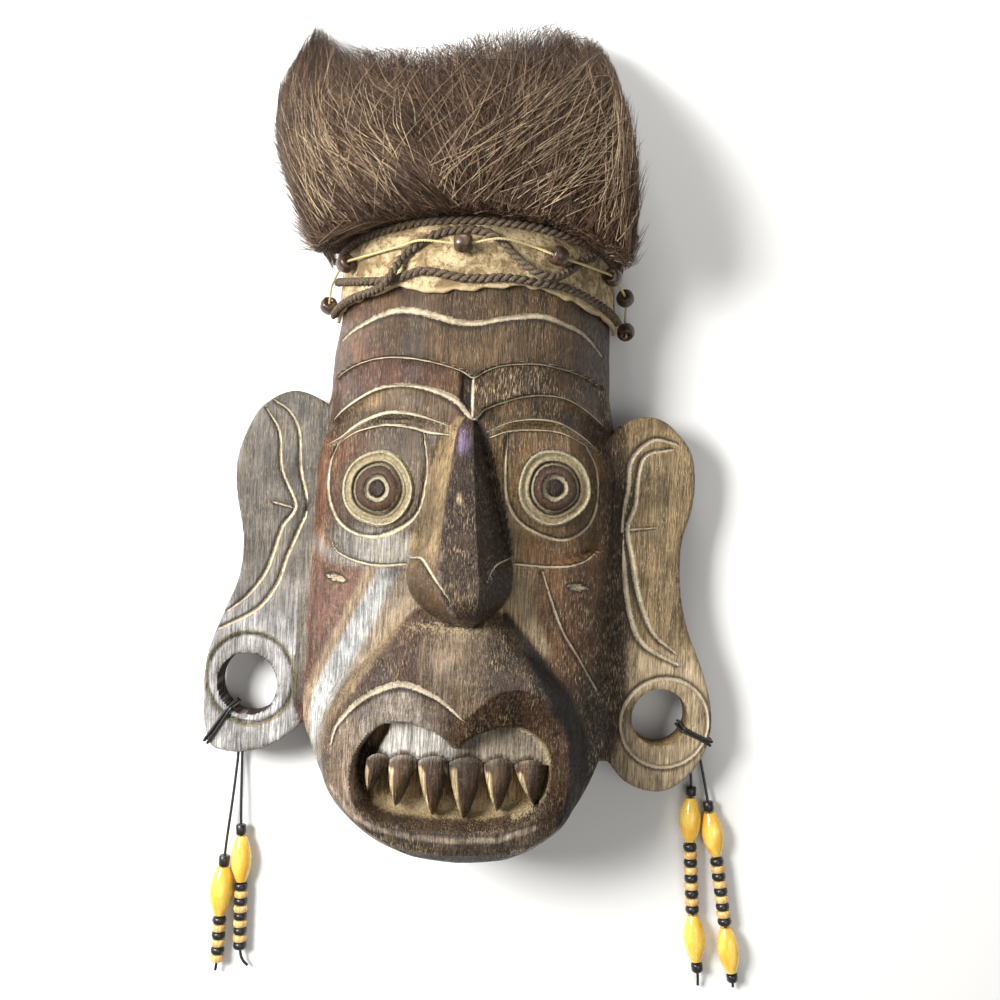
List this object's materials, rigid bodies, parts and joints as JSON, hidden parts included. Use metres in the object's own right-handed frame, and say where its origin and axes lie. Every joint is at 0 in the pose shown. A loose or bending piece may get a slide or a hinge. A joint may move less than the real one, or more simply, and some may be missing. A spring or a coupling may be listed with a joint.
{
  "type": "carved wooden face mask",
  "caption": "Carved dark hardwood face mask lying on its back, with flat pierced ears, a roped hide headband, a fur crest and beaded ear cords.",
  "frame": {"origin": "on the surface that the mask's back lies on, under the middle of the mask without its hanging strands", "axes": "+X to the right of the face as seen from in front, +Y up the face towards the fur, +Z out of the face"},
  "size_m": [0.3105, 0.5283, 0.118],
  "materials": {
    "wood": "dark brown hardwood, rubbed to a gloss, with pale dust left in the cuts",
    "hide": "dry tan rawhide, matt and stained",
    "fur": "long coarse brown fur with pale straws",
    "rope": "dark twisted plant fibre rope, matt",
    "twine": "pale twisted twine",
    "nut_beads": "dark brown nut shell, half gloss",
    "black_cord": "black waxed cord and black beads",
    "yellow_beads": "yellow lacquered wood, glossy",
    "ring_beads": "tan and black ring beads, half gloss"
  },
  "bodies": {
    "root": {"mask_carving": "wood", "hide_band": "hide", "upper_rope": "rope", "lower_rope": "rope", "zigzag_rope": "rope", "nut_bead_1": "nut_beads", "nut_bead_2": "nut_beads", "nut_bead_3": "nut_beads", "nut_bead_4": "nut_beads", "nut_bead_5": "nut_beads", "nut_bead_6": "nut_beads", "nut_bead_7": "nut_beads", "bead_twine": "twine", "fur_crest": "fur", "left_ear_loop": "black_cord", "right_ear_loop": "black_cord", "left_outer_cord": "black_cord", "left_outer_tube_1": "black_cord", "left_outer_oval_1": "yellow_beads", "left_outer_rings_1": "ring_beads", "left_inner_cord": "black_cord", "left_inner_tube_1": "black_cord", "left_inner_oval_1": "yellow_beads", "left_inner_rings_1": "ring_beads", "right_inner_cord": "black_cord", "right_inner_tube_1": "black_cord", "right_inner_oval_1": "yellow_beads", "right_inner_rings_1": "ring_beads", "right_inner_oval_2": "yellow_beads", "right_inner_tube_2": "black_cord", "right_outer_cord": "black_cord", "right_outer_tube_1": "black_cord", "right_outer_oval_1": "yellow_beads", "right_outer_rings_1": "ring_beads", "right_outer_oval_2": "yellow_beads", "right_outer_tube_2": "black_cord"}
  },
  "joints": []
}
